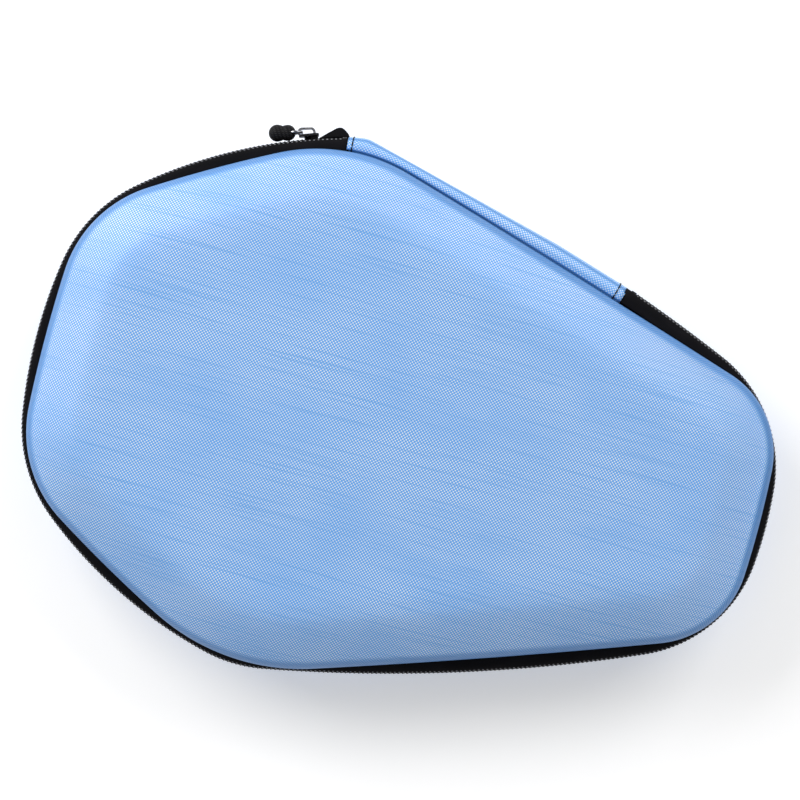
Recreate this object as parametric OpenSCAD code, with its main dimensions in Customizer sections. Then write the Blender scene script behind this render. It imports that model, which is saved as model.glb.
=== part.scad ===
// Hard-shell case for two table-tennis paddles. Two moulded foam shells are covered in
// woven-look fabric, closed by a coil zipper round three sides and hinged by a fabric
// strip on the fourth. The case lies on its back: +Z runs from the back shell through
// the lid, +X from the blade end to the handle end, and +Y towards the hinge strip.

/* [Case] */
// Overall height of the closed case
case_h = 48; // [46:0.5:54]
// Height of the zipper band between the two shell rims
band_h = 12; // [12:0.5:14]
// Distance from the frame's origin to the blade end of the rim
blade_end_x = 145.47; // [144:0.01:147]
// Fall of the lid from the blade plateau to the handle end
handle_drop = 9; // [0:0.5:10]
// Where the lid starts to fall, measured along the slope's direction
drop_start = 50; // [44:1:60]
// Direction of that slope, turned from +X
drop_angle = 38; // [20:1:45]

/* [Shell] */
// Thickness of the outer fabric laminate
cover_t = 0.8; // [0.6:0.1:1]
// Thickness of the foam core
core_t = 2.6; // [2:0.1:3]
// Thickness of the inner lining
lining_t = 0.5; // [0.4:0.1:0.8]
// Gap left by the glue line between two layers
glue_gap = 0.05; // [0.05:0.01:0.1]

/* [Zipper] */
// Thickness of the woven zipper tape
tape_t = 0.6; // [0.5:0.05:0.7]
// Height of one row of coil teeth
coil_h = 1.2; // [1:0.1:1.3]
// Clear gap between the two rows of teeth
coil_gap = 1; // [0.9:0.1:1.2]
// Length of the slider's body
slider_len = 8; // [7.4:0.1:8.2]
// Height of the slider's body across the chain
slider_w = 6.8; // [6.4:0.1:7]
// Diameter of the wire in the pull
wire_d = 1.1; // [0.9:0.1:1.2]
// Largest diameter of the moulded grip
grip_d = 6.8; // [6:0.2:6.8]

/* [Hinge strip] */
// Thickness of the strip's fabric
strip_t = 0.7; // [0.5:0.05:0.8]

/* [Inside] */
// Width of the elastic paddle strap
strap_w = 25; // [20:1:30]
// Clear height under the strap
strap_h = 22; // [18:1:23]
// Clear width between the strap's feet
strap_span = 62; // [50:1:66]
// Thickness of the mesh ball pocket
mesh_t = 0.6; // [0.5:0.1:1]
// Edge of the ball pocket, measured from the frame's origin
pocket_edge_x = -8; // [-30:1:5]

/* [Hidden] */

// Colours
blue = [0.47, 0.69, 0.91];
black = [0.05, 0.05, 0.06];
charcoal = [0.14, 0.14, 0.16];
silver = [0.8, 0.81, 0.83];

mid = case_h / 2;
half_band = band_h / 2;
wall_t = cover_t + core_t + lining_t + 2 * glue_gap;
// Puts the origin at the middle of the case's box across the hinge
frame_y = -1.57;
// A length that reaches past the case on every side, for cutting shapes
beyond = 200;

// Half an outline is a chain of tangent arcs, [radius, sweep], from the blade end at
// heading +Y round to the handle end, closed by one more arc. The free half is mirrored
// to -Y. The hinge half is straighter along the strip, and the zipper stands out there.
RIM_FREE = [[530, 3], [50.5, 54.6], [585, 5.2], [86, 44.9], [3150, 2.5], [39.3, 66.7]];
RIM_HINGE =
    [[530, 3], [50.5, 54.6], [585, 5.2], [71.3, 43.5], [5361.26, 1.6], [36.7, 69]];
ZIP_FREE = [[198, 9], [60.2, 42.1], [187, 25], [57, 24.3], [671, 13], [55.3, 61.4]];
ZIP_HINGE = [[198, 9], [60.2, 40.95], [198.1, 30], [57, 24.3], [671, 13], [55.3, 61.4]];
// Extra reach of the zipper line beyond the rim at the blade end
zip_reach = 4.4;

// Centre, radius, first and last heading of each arc in a chain
function chain(spec, i, x, y, h) =
    let (
        last = i == len(spec),
        r = last ? y / cos(h) : spec[i][0],
        sweep = last ? h + 90 : spec[i][1],
        cx = x + r * sin(h),
        cy = y - r * cos(h),
        h2 = h - sweep
    )
    concat(
        [[cx, cy, r, h, h2]],
        last ? [] : chain(spec, i + 1, cx - r * sin(h2), cy + r * cos(h2), h2)
    );
ARC_COUNT = len(RIM_FREE) + 1;
TURN = 2 * ARC_COUNT;
RIM = [for (spec = [RIM_HINGE, RIM_FREE]) chain(spec, 0, -blade_end_x, 0, 90)];
// The hinge half's own zipper arcs end under the strip; past it the two halves match
ZIP_ENDS = [for (spec = [ZIP_HINGE, ZIP_FREE]) chain(spec, 0, -blade_end_x - zip_reach, 0, 90)];
strip_arc = 4;
ZIP = [[for (i = [0 : ARC_COUNT - 1]) ZIP_ENDS[i < strip_arc ? 0 : 1][i]], ZIP_ENDS[1]];

// Point and outward normal on a chain. t counts arcs from the blade end, clockwise seen
// from +Z, and d moves the point outwards.
function wrap(t) = t - TURN * floor(t / TURN);
function place(c, t) =
    let (u = wrap(t), upper = u < ARC_COUNT, v = upper ? u : TURN - u)
    let (
        i = min(ARC_COUNT - 1, floor(v)),
        a = c[upper ? 0 : 1][i],
        h = a[3] + (a[4] - a[3]) * (v - i)
    )
    [a, h, upper ? 1 : -1];
function normal(c, t) = let (p = place(c, t)) [-sin(p[1]), cos(p[1]) * p[2]];
function along(c, t, d) =
    let (p = place(c, t), r = p[0][2] + d)
    [p[0][0] - r * sin(p[1]), (p[0][1] + r * cos(p[1])) * p[2] + frame_y];

// Stations round the whole outline, finer on the corners
STEPS = [2, 8, 4, 7, 8, 9, 2];
LOOP = concat(
    [for (i = [0 : ARC_COUNT - 1]) for (k = [0 : STEPS[i] - 1]) i + k / STEPS[i]],
    [for (i = [ARC_COUNT - 1 : -1 : 0]) for (k = [0 : STEPS[i] - 1])
        TURN - 1 - i + k / STEPS[i]]
);
function between(t0, t1) = concat(
    [t0],
    [for (turn = [0 : 1]) for (t = LOOP)
        let (s = t + TURN * turn) if (s > t0 + 0.03 && s < t1 - 0.03) s],
    [t1]
);

// Closed solid through a list of rings with equal point counts. Rings up to flip_at use
// the other diagonal, so that nested shells share theirs.
module loft(rings, flip_at = -1, apex_a = [], apex_b = []) {
    n = len(rings[0]);
    m = len(rings);
    flat = [for (ring = rings) each ring];
    skin = [for (j = [0 : m - 2]) for (i = [0 : n - 1])
        let (a = j * n + i, b = j * n + (i + 1) % n, c = b + n, d = a + n)
        each (j < flip_at ? [[a, b, c], [a, c, d]] : [[a, b, d], [b, c, d]])];
    caps = len(apex_a) == 0
        ? [[for (i = [n - 1 : -1 : 0]) i], [for (i = [0 : n - 1]) (m - 1) * n + i]]
        : concat(
            [for (i = [0 : n - 1]) [m * n, (i + 1) % n, i]],
            [for (i = [0 : n - 1]) [m * n + 1, (m - 1) * n + i, (m - 1) * n + (i + 1) % n]]
        );
    polyhedron(concat(flat, len(apex_a) == 0 ? [] : [apex_a, apex_b]), concat(skin, caps));
}

// Wall profile of a shell, [inset from the rim, height above the middle]: a steep wall,
// a sloped shoulder, then the plateau
rise = mid - half_band;
PROFILE = [for (p = [[0, 0], [0.6, 0.25], [2.8, 0.47], [6, 0.6], [13, 0.8], [20, 0.95], [26, 1]])
    [p[0], half_band + rise * p[1]]];
RING_COUNT = len(PROFILE);
// Share of the handle end's fall taken by each ring
FALL = [0, 0.15, 0.35, 0.55, 0.8, 0.95, 1];
// Rings inside the plateau, as a share of the way to its centre
PLATEAU = [0.35, 0.7];
plateau_x = 8;

function unit(v) = v / norm(v);
function inward(j) =
    j == 0 ? [1, 0]
    : j == RING_COUNT - 1 ? [0, -1]
    : let (s = unit(PROFILE[j + 1] - PROFILE[j - 1])) [s[1], -s[0]];
// The slope eases in over its first stretch, and is at its full fall after its run
slope_ease = 16;
slope_run = 58;
function soft_ramp(u) =
    u <= 0 ? 0 : u < slope_ease ? u * u / (2 * slope_ease) : u - slope_ease / 2;
// Fall of the lid at a place, out of handle_drop at the handle end
function fall(p) =
    let (u = p[0] * cos(drop_angle) + p[1] * sin(drop_angle) - drop_start)
    handle_drop * min(1, soft_ramp(u) / slope_run);

function shell_point(t, j, e, slope) =
    let (p = PROFILE[j] + e * inward(j), xy = along(RIM, t, -p[0]))
    [xy[0], xy[1], mid + p[1] - slope * FALL[j] * fall(along(RIM, t, -PROFILE[j][0]))];
function centre_point(e, slope) =
    [plateau_x, frame_y, case_h - e - slope * fall([plateau_x, frame_y])];
function plateau_point(t, k, e, slope) =
    let (
        top = shell_point(t, RING_COUNT - 1, e, 0),
        x = top[0] + (plateau_x - top[0]) * PLATEAU[k],
        y = top[1] + (frame_y - top[1]) * PLATEAU[k]
    )
    [x, y, case_h - e - slope * fall([x, y])];
// Rings from the middle of the plateau out to the rim, at depth e below the outer skin
function shell_rings(e, slope) = concat(
    [for (k = [len(PLATEAU) - 1 : -1 : 0]) [for (t = LOOP) plateau_point(t, k, e, slope)]],
    [for (j = [RING_COUNT - 1 : -1 : 0]) [for (t = LOOP) shell_point(t, j, e, slope)]]
);
function reversed(v) = [for (i = [len(v) - 1 : -1 : 0]) v[i]];

// One layer of a shell, between two depths below the outer skin
module layer(e1, e2, slope) {
    outer = shell_rings(e1, slope);
    inner = reversed(shell_rings(e2, slope));
    loft(concat(outer, inner), len(outer), centre_point(e1, slope), centre_point(e2, slope));
}

// Mirrors a lid piece into the matching piece of the back
module to_back() {
    translate([0, 0, case_h]) mirror([0, 0, 1]) children();
}

core_in = cover_t + glue_gap;
lining_in = core_in + core_t + glue_gap;

module front_cover() {
    color(blue) layer(0, cover_t, 1);
}
module front_core() {
    color(charcoal) layer(core_in, core_in + core_t, 1);
}
module front_lining() {
    color(black) layer(lining_in, lining_in + lining_t, 1);
}
// The back's skin is drawn this much proud, then trimmed to one flat resting face
rest_trim = 0.08;
module back_cover() {
    color(blue) difference() {
        to_back() layer(-rest_trim, cover_t, 0);
        translate([-beyond, -beyond, -wall_t]) cube([2 * beyond, 2 * beyond, wall_t]);
    }
}
module back_core() {
    color(charcoal) to_back() layer(core_in, core_in + core_t, 0);
}
module back_lining() {
    color(black) to_back() layer(lining_in, lining_in + lining_t, 0);
}

// Band of constant section that follows the zipper or rim between two stations. The
// section's points are [outward offset, height above the middle].
module band(c, t0, t1, section) {
    loft([for (t = between(t0, t1)) [for (s = section)
        let (xy = along(c, t, s[0])) [xy[0], xy[1], mid + s[1]]]]);
}

// The zipper runs from the hinge strip's handle end right round to its blade end
zip_t0 = 4.705;
zip_t1 = TURN + 2.841;
strip_t0 = 3.505;
strip_t1 = 4.65;

coil_z0 = coil_gap / 2;
coil_z1 = coil_z0 + coil_h;
coil_out = 0.4;
coil_t0 = zip_t0 + 0.02;
coil_t1 = TURN + 2.815;
tape_in = -0.3;
flange_z = half_band - 0.05;
bend_z = flange_z - 1.45;
TAPE = [
    [tape_in, coil_z1 + 0.05], [tape_in, bend_z], [-1.4, flange_z - 0.35], [-3, flange_z],
    [-6.6, flange_z], [-6.6, flange_z - tape_t], [-3.2, flange_z - tape_t],
    [-2, flange_z - tape_t - 0.3], [tape_in - tape_t, bend_z - 0.2],
    [tape_in - tape_t, coil_z1 + 0.05]
];
COIL = [
    [coil_out - 0.3, coil_z0], [coil_out, coil_z0 + 0.3], [coil_out, coil_z1 - 0.3],
    [coil_out - 0.3, coil_z1], [-0.9, coil_z1], [-1.2, coil_z1 - 0.3],
    [-1.2, coil_z0 + 0.3], [-0.9, coil_z0]
];
module front_tape() {
    color(black) band(ZIP, zip_t0, zip_t1, TAPE);
}
module back_tape() {
    color(black) to_back() band(ZIP, zip_t0, zip_t1, TAPE);
}
module front_coil() {
    color(charcoal) band(ZIP, coil_t0, coil_t1, COIL);
}
module back_coil() {
    color(charcoal) to_back() band(ZIP, coil_t0, coil_t1, COIL);
}

// Stops: one clamped after each row's last tooth, and one block at the handle end
STOP = [[coil_out, coil_z0], [coil_out, coil_z1], [-1.2, coil_z1], [-1.2, coil_z0]];
module front_top_stop() {
    color(silver) band(ZIP, coil_t1 + 0.003, coil_t1 + 0.018, STOP);
}
module back_top_stop() {
    color(silver) to_back() band(ZIP, coil_t1 + 0.003, coil_t1 + 0.018, STOP);
}
block_h = 1.4;
BLOCK = [[coil_out, -block_h], [coil_out, block_h], [-1.2, block_h], [-1.2, -block_h]];
module bottom_stop() {
    color(charcoal) band(ZIP, zip_t0 + 0.002, zip_t0 + 0.017, BLOCK);
}

// Woven edge binding inside each rim, over the tape's raw edge
binding_in = 2.5;
binding_w = 2.6;
binding_h = 1.6;
binding_z = flange_z - tape_t - 0.1;
BINDING = [
    [-binding_in, binding_z], [-binding_in - binding_w, binding_z],
    [-binding_in - binding_w, binding_z - binding_h], [-binding_in, binding_z - binding_h]
];
module front_binding() {
    color(black) band(RIM, strip_t1 + 0.05, TURN + strip_t0 - 0.1, BINDING);
}
module back_binding() {
    color(black) to_back() band(RIM, strip_t1 + 0.05, TURN + strip_t0 - 0.1, BINDING);
}

// Free ends of the two tapes, folded outwards between the slider and the hinge strip
end_t = 2.7875;
end_lift = 0.6;
end_fold = 1.3;
FLAP = [
    [-5.3, 0.7], [-5.1, 1.5], [-4, 2.8], [-2, 3.8], [0.4, 4.2], [2.6, 3.9],
    [4.3, 2.8], [5.2, 1.5], [5.3, 0.7]
];
module tape_end() {
    p = along(ZIP, end_t, 0);
    translate([p[0], p[1], mid + coil_z1 + end_lift]) rotate([0, 0, place(ZIP, end_t)[1]])
        linear_extrude(end_fold) polygon(FLAP);
}
module front_tape_end() {
    color(black) tape_end();
}
module back_tape_end() {
    color(black) to_back() tape_end();
}

// The lid turns about the strip's straight outer edge
axis_a = [108.65 - blade_end_x, 107.98 + frame_y];
axis_b = [215.15 - blade_end_x, 80.48 + frame_y];
axis_n = let (d = unit(axis_b - axis_a)) [-d[1], d[0]];
// The strip bulges past the rim up to the hinge axis, but no more than its reach, which
// is least at its blade end
strip_reach = 7.4;
strip_end_reach = 6.3;
strip_spread = 7;
function bulge(t) =
    let (p = along(RIM, t, 0), n = normal(RIM, t))
    min(
        strip_reach,
        strip_end_reach + strip_spread * (t - strip_t0),
        ((axis_a - p) * axis_n) / (n * axis_n) - 0.1
    );
// Half section of the strip where it bulges by b, from its flange under a rim to the
// middle: [outward offset, height above the middle, outward and upward normal]
flange_w = 3;
function strip_side(b) = [
    [-flange_w, half_band - 0.1, 0, 1], [0.15, half_band - 0.1, 0, 1],
    [0.14 * b + 0.15, half_band + 0.25, -0.25, 0.97], [0.42 * b, half_band + 0.5, 0.1, 1],
    [0.7 * b, half_band - 0.4, 0.5, 0.87], [0.9 * b, half_band - 2, 0.83, 0.56],
    [b, 1.6, 0.99, 0.12]
];
// The strip's face at depth e, from one flange to the other, less the first points
function strip_face(t, e, first = 0) =
    let (side = strip_side(bulge(t)), last = len(side) - 1)
    let (half = [for (i = [first : last])
        let (s = side[i]) [s[0] - e * s[2], s[1] - e * s[3]]])
    concat(half, [for (s = reversed(half)) [s[0], -s[1]]]);
// Closed section between two depths
function strip_section(t, e1, e2, first = 0) =
    concat(strip_face(t, e1, first), reversed(strip_face(t, e2, first)));
module hinge_strip() {
    color(blue) loft([for (t = between(strip_t0, strip_t1))
        [for (s = strip_section(t, 0, strip_t))
            let (xy = along(RIM, t, s[0])) [xy[0], xy[1], mid + s[1]]]]);
}
// One row of thread across each end of the strip
thread_h = 0.3;
thread_w = 0.4;
thread_gap = 0.06;
module strip_thread(t) {
    p = along(RIM, t, 0);
    translate([p[0], p[1], mid]) rotate([90, 0, 90 + place(RIM, t)[1]])
        linear_extrude(thread_w, center = true)
            polygon(strip_section(t, -thread_h, -thread_gap, 2));
}
module strip_stitch_blade() {
    color(black) strip_thread(strip_t0 + 0.034);
}
module strip_stitch_handle() {
    color(black) strip_thread(strip_t1 - 0.022);
}
module hinge_lining() {
    x0 = -wall_t - 0.6;
    z = half_band + 2;
    color(black) band(RIM, strip_t0 + 0.05, strip_t1 - 0.02,
        [[x0, z], [x0 - 0.5, z], [x0 - 0.5, -z], [x0, -z]]);
}

// Slider, in its own frame: +X along the chain towards the strip, +Y out of the case
slider_at = 2.69;
module on_chain() {
    p = along(ZIP, slider_at, 0);
    translate([p[0], p[1], mid]) rotate([0, 0, place(ZIP, slider_at)[1]]) children();
}
plate_y = 1.35;
plate_t = 0.95;
inner_y = -1.9;
// Plate with rounded corners, seen from outside the case
module slider_plate(y, t) {
    r = 1.6;
    x = slider_len / 2 - r;
    z = slider_w / 2 - r;
    translate([0, y + t, 0]) rotate([90, 0, 0]) linear_extrude(t) hull()
        for (sx = [-1, 1], sz = [-1, 1])
            translate([sx * x, sz * (z - (sx < 0 ? 0.6 : 0))]) circle(r, $fn = 24);
}
module slider_body() {
    lip_w = 0.7;
    lip_len = 5;
    lip_start = -2;
    lip_h = 0.4;
    web_t = 0.4;
    web_len = 3;
    web_start = 0.6;
    root = 0.1; // length of a lip or the web inside a plate
    low = -slider_w / 2;
    color(black) on_chain() {
        slider_plate(plate_y, plate_t);
        slider_plate(inner_y - plate_t, plate_t);
        // Lips that guide the tape; the outer plate has none on the lid's side, so that
        // the lid's teeth can lift out
        translate([lip_start, root / 2, low]) cube([lip_len, plate_y, lip_w]);
        for (z = [low, -low - lip_w])
            translate([lip_start, inner_y - root, z]) cube([lip_len, lip_h, lip_w]);
        translate([web_start, inner_y - root, -web_t / 2])
            cube([web_len, plate_y - inner_y + 2 * root, web_t]);
    }
}
// The crown arches over the outer plate and holds the pull's wire
pivot = [-2.66, 3.25];
crown_w = 2.4;
crown_t = 0.9;
// Middle of the arch's other end
crown_end = [1, 3.15];
module slider_crown() {
    foot = plate_y + plate_t + 0.02;
    eye_r = 0.95;
    end_r = 0.85;
    color(silver) on_chain() translate([0, 0, -crown_w / 2]) linear_extrude(crown_w)
        difference() {
            intersection() {
                translate([-slider_len, foot]) square([2 * slider_len, slider_len]);
                hull() {
                    translate(pivot) circle(eye_r + crown_t, $fn = 40);
                    translate(crown_end) circle(end_r + crown_t, $fn = 40);
                    translate([-4.1, foot]) square([7, 0.1]);
                }
            }
            hull() {
                translate(pivot) circle(eye_r, $fn = 40);
                translate(crown_end + [-0.1, 0.05]) circle(end_r, $fn = 40);
                translate([-3.6, foot - 0.2]) square([5.4, 0.1]);
            }
        }
}
// Pull, in its own frame: +X from the pivot to the grip's free end
pull_rest = 177;
ring_r = 2.6;
// Start of the moulded grip, and distance between the middles of its two lobes
grip_start = 2.5;
lobe_step = 4.2;
module on_pull() {
    on_chain() translate(pivot) rotate([0, 0, pull_rest]) children();
}
module ring(d) {
    translate([ring_r, 0, 0]) rotate([90, 0, 0])
        rotate_extrude($fn = 64) translate([ring_r, 0]) circle(d = d, $fn = 24);
}
module pull_wire() {
    color(silver) on_pull() ring(wire_d);
}
module pull_grip() {
    near_r = grip_d / 2 - 0.2;
    near_x = grip_start + near_r;
    color(black) on_pull() difference() {
        union() {
            translate([near_x, 0, 0]) sphere(near_r, $fn = 48);
            translate([near_x + lobe_step, 0, 0]) sphere(d = grip_d, $fn = 48);
        }
        ring(wire_d + 0.04);
    }
}

// Elastic strap that holds the paddles' handles against the back
strap_x = 34;
strap_t = 1.2;
foot_len = 9;
floor_z = wall_t + 0.1;
module strap_arch(rise_h, half_span) {
    r = (half_span * half_span + rise_h * rise_h) / (2 * rise_h);
    translate([0, rise_h - r]) circle(r, $fn = 96);
}
module paddle_strap() {
    half = strap_span / 2;
    color(charcoal) translate([strap_x, frame_y, floor_z]) rotate([90, 0, 90])
        linear_extrude(strap_w) {
            intersection() {
                difference() {
                    strap_arch(strap_h + strap_t, half + strap_t);
                    strap_arch(strap_h, half);
                }
                translate([-beyond, 0]) square([2 * beyond, beyond]);
            }
            for (side = [-1, 1])
                translate([side * (half + foot_len / 2 + strap_t / 2), strap_t / 2])
                    square([foot_len, strap_t], center = true);
        }
}
// Bars of dense stitching across the strap's feet
tack_w = 1;
tack_len = 4.4;
tack_h = 0.3;
tack_inset = 3;
module strap_tacks() {
    y = (strap_span + foot_len) / 2 + 1.4;
    color(silver) for (side = [-1, 1], x = [tack_inset, strap_w - tack_inset - tack_w])
        translate([strap_x + x, frame_y + side * y - tack_len / 2, floor_z + strap_t + 0.01])
            cube([tack_w, tack_len, tack_h]);
}
// Mesh sheet across the lid that keeps the balls in the blade end
pocket_z = mid + half_band + 3;
pocket_inset = 5.2;
hem_w = 5;
hem_t = 1.2;
// Part of the hem's thickness on each side of the mesh
hem_lip = (hem_t - mesh_t) / 2;
module ball_pocket() {
    color(charcoal) translate([0, 0, pocket_z]) linear_extrude(mesh_t) intersection() {
        polygon([for (t = LOOP) along(RIM, t, -pocket_inset)]);
        translate([-beyond, -beyond]) square([beyond + pocket_edge_x, 2 * beyond]);
    }
}
module pocket_hem() {
    color(black) translate([0, 0, pocket_z - hem_lip]) linear_extrude(hem_t) intersection() {
        polygon([for (t = LOOP) along(RIM, t, -pocket_inset)]);
        translate([pocket_edge_x + 0.02, -beyond]) square([hem_w, 2 * beyond]);
    }
}

back_cover();
back_core();
back_lining();
back_binding();
back_tape();
back_coil();
back_tape_end();
front_cover();
front_core();
front_lining();
front_binding();
front_tape();
front_coil();
front_tape_end();
hinge_strip();
hinge_lining();
strip_stitch_blade();
strip_stitch_handle();
back_top_stop();
front_top_stop();
bottom_stop();
slider_body();
slider_crown();
pull_wire();
pull_grip();
paddle_strap();
strap_tacks();
ball_pocket();
pocket_hem();
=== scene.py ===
"""Looks of a hard-shell paddle case: fabric shells, coil zipper, hinge strip and inside.

Lengths in the geometry code are millimetres in the CAD's frame. MM turns them into metres.
Heights in sections are measured from MID, the middle of the zipper band.
"""
import math

import bpy
from mathutils import Matrix, Vector


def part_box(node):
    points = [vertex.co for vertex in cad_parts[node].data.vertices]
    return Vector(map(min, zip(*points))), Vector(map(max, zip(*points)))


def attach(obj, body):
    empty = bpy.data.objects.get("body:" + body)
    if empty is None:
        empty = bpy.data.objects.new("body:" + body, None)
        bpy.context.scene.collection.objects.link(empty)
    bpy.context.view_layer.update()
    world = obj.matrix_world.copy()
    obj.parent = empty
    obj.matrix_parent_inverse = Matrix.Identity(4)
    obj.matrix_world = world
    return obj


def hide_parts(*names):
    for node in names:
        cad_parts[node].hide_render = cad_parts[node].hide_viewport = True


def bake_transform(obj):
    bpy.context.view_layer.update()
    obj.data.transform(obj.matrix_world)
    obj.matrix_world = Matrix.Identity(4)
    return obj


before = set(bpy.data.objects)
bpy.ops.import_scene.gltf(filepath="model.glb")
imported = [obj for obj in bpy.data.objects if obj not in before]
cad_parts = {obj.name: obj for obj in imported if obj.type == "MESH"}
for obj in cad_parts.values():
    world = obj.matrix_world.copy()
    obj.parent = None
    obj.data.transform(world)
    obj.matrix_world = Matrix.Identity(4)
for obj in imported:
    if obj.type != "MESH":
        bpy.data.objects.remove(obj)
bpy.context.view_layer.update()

MM = 0.001


# ---------------------------------------------------------------- outline and wall

def cad(node):
    """Lowest and highest corner of a CAD node, in millimetres."""
    low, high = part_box(node)
    return low / MM, high / MM


LID_LOW, LID_HIGH = cad("front_cover")
CASE_H = LID_HIGH.z
MID = CASE_H / 2
HALF_BAND = LID_LOW.z - MID
RISE = MID - HALF_BAND
BLADE_X = LID_LOW.x
# The outline's middle line, and how far out of the rim the zipper line is at the blade end
FRAME_Y = -1.57
ZIP_REACH = 4.4

# Tangent arcs, (radius, sweep), from the blade end round to the handle end, for the half
# with the hinge strip and for the free half
RIM_HINGE = [(530, 3), (50.5, 54.6), (585, 5.2), (71.3, 43.5), (5361.26, 1.6), (36.7, 69)]
RIM_FREE = [(530, 3), (50.5, 54.6), (585, 5.2), (86, 44.9), (3150, 2.5), (39.3, 66.7)]
ZIP_HINGE = [(198, 9), (60.2, 40.95), (198.1, 30), (57, 24.3), (671, 13), (55.3, 61.4)]
ZIP_FREE = [(198, 9), (60.2, 42.1), (187, 25), (57, 24.3), (671, 13), (55.3, 61.4)]
# A station counts arcs, from the blade end along the hinge half and then back along the free one
ARC_COUNT = len(RIM_FREE) + 1
TURN = 2 * ARC_COUNT
# The zipper lines of both halves are alike from this arc, which is under the strip
STRIP_ARC = 4


def chain(arcs, x):
    """Centre, radius, first and last heading of each arc, the closing one included."""
    y, heading, made = 0.0, 90.0, []
    for i in range(ARC_COUNT):
        closing = i == ARC_COUNT - 1
        radius = y / math.cos(math.radians(heading)) if closing else arcs[i][0]
        sweep = heading + 90 if closing else arcs[i][1]
        a = math.radians(heading)
        cx, cy = x + radius * math.sin(a), y - radius * math.cos(a)
        made.append((cx, cy, radius, heading, heading - sweep))
        heading -= sweep
        a = math.radians(heading)
        x, y = cx - radius * math.sin(a), cy + radius * math.cos(a)
    return made


RIM = (chain(RIM_HINGE, BLADE_X), chain(RIM_FREE, BLADE_X))
ZIP_LOOSE, ZIP_EVEN = (chain(arcs, BLADE_X - ZIP_REACH) for arcs in (ZIP_HINGE, ZIP_FREE))
ZIP = (ZIP_LOOSE[:STRIP_ARC] + ZIP_EVEN[STRIP_ARC:], ZIP_EVEN)


def place(line, t):
    """Arc, heading in radians and side of the outline at station t."""
    u = t % TURN
    upper = u < ARC_COUNT
    v = u if upper else TURN - u
    i = min(ARC_COUNT - 1, int(v))
    arc = line[0 if upper else 1][i]
    return arc, math.radians(arc[3] + (arc[4] - arc[3]) * (v - i)), 1 if upper else -1


def normal(line, t):
    _, h, side = place(line, t)
    return Vector((-math.sin(h), math.cos(h) * side))


def along(line, t, out):
    """Point at station t, moved outwards."""
    arc, h, side = place(line, t)
    r = arc[2] + out
    return Vector((arc[0] - r * math.sin(h), (arc[1] + r * math.cos(h)) * side + FRAME_Y))


def stations(line, t0, t1, step):
    """Stations from t0 to t1 about step millimetres apart."""
    cuts = [t0] + [c for c in range(math.ceil(t0 + 1e-6), math.ceil(t1)) if c < t1] + [t1]
    made = []
    for a, b in zip(cuts, cuts[1:]):
        arc, _, _ = place(line, (a + b) / 2)
        length = abs(b - a) * arc[2] * math.radians(arc[3] - arc[4])
        count = max(1, round(length / step))
        made += [a + (b - a) * k / count for k in range(count)]
    return made + [t1]


# Wall profile: inset from the rim, share of the rise, share of the lid's fall
PROFILE = [(0, 0, 0), (0.6, 0.25, 0.15), (2.8, 0.47, 0.35), (6, 0.6, 0.55),
           (13, 0.8, 0.8), (20, 0.95, 0.95), (26, 1, 1)]
# The lid's fall: its depth, where it starts, its direction, its easing and its length
HANDLE_DROP, DROP_START, DROP_ANGLE = 9, 50, math.radians(38)
SLOPE_EASE, SLOPE_RUN = 16, 58
PLATEAU_CENTRE = Vector((8, FRAME_Y))
COVER_T, CORE_T, LINING_T, GLUE = 0.8, 2.6, 0.5, 0.05
WALL_T = COVER_T + CORE_T + LINING_T + 2 * GLUE


def fall(p):
    """How far the lid has fallen at a place, towards the handle end."""
    u = p.x * math.cos(DROP_ANGLE) + p.y * math.sin(DROP_ANGLE) - DROP_START
    if u <= 0:
        return 0
    ramp = u * u / (2 * SLOPE_EASE) if u < SLOPE_EASE else u - SLOPE_EASE / 2
    return HANDLE_DROP * min(1, ramp / SLOPE_RUN)


def catmull(points, fraction):
    """Point on a smooth line through the given tuples, fraction from 0 to 1."""
    s = fraction * (len(points) - 1)
    i = min(len(points) - 2, int(s))
    f = s - i
    a, b, c, d = (points[min(max(k, 0), len(points) - 1)] for k in (i - 1, i, i + 1, i + 2))
    return tuple(
        q + 0.5 * f * (r - p + f * (2 * p - 5 * q + 4 * r - e + f * (3 * (q - r) + e - p)))
        for p, q, r, e in zip(a, b, c, d)
    )


def wall(count, depth):
    """Smooth wall from plateau to rim: (inset, height, fall share, inset outside) rows."""
    rows = [catmull(PROFILE, 1 - k / count) for k in range(count + 1)]
    made = []
    for k, row in enumerate(rows):
        a, b = rows[max(0, k - 1)], rows[min(count, k + 1)]
        tangent = Vector((a[0] - b[0], RISE * (a[1] - b[1]))).normalized()
        inward = Vector((tangent.y, -tangent.x))
        if k == 0:
            inward = Vector((0, -1))
        if k == count:
            inward = Vector((1, 0))
        at = Vector((row[0], HALF_BAND + RISE * row[1])) + inward * depth
        made.append((at.x, at.y, row[2], row[0]))
    return made


def shell_rows(ts, depth, slope, wall_rows=40, plateau_rows=14):
    """Rows of points over a shell, from the middle of the plateau to the rim."""
    rows = []
    edge = [along(RIM, t, -PROFILE[-1][0]) for t in ts]
    for k in range(1, plateau_rows):
        share = k / plateau_rows
        at = [PLATEAU_CENTRE.lerp(p, share) for p in edge]
        rows.append([Vector((p.x, p.y, CASE_H - depth - slope * fall(p))) for p in at])
    for inset, height, share, outside in wall(wall_rows, depth):
        row = []
        for t in ts:
            p = along(RIM, t, -inset)
            z = MID + height - slope * share * fall(along(RIM, t, -outside))
            row.append(Vector((p.x, p.y, z)))
        rows.append(row)
    return rows


# ---------------------------------------------------------------- mesh helpers

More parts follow.
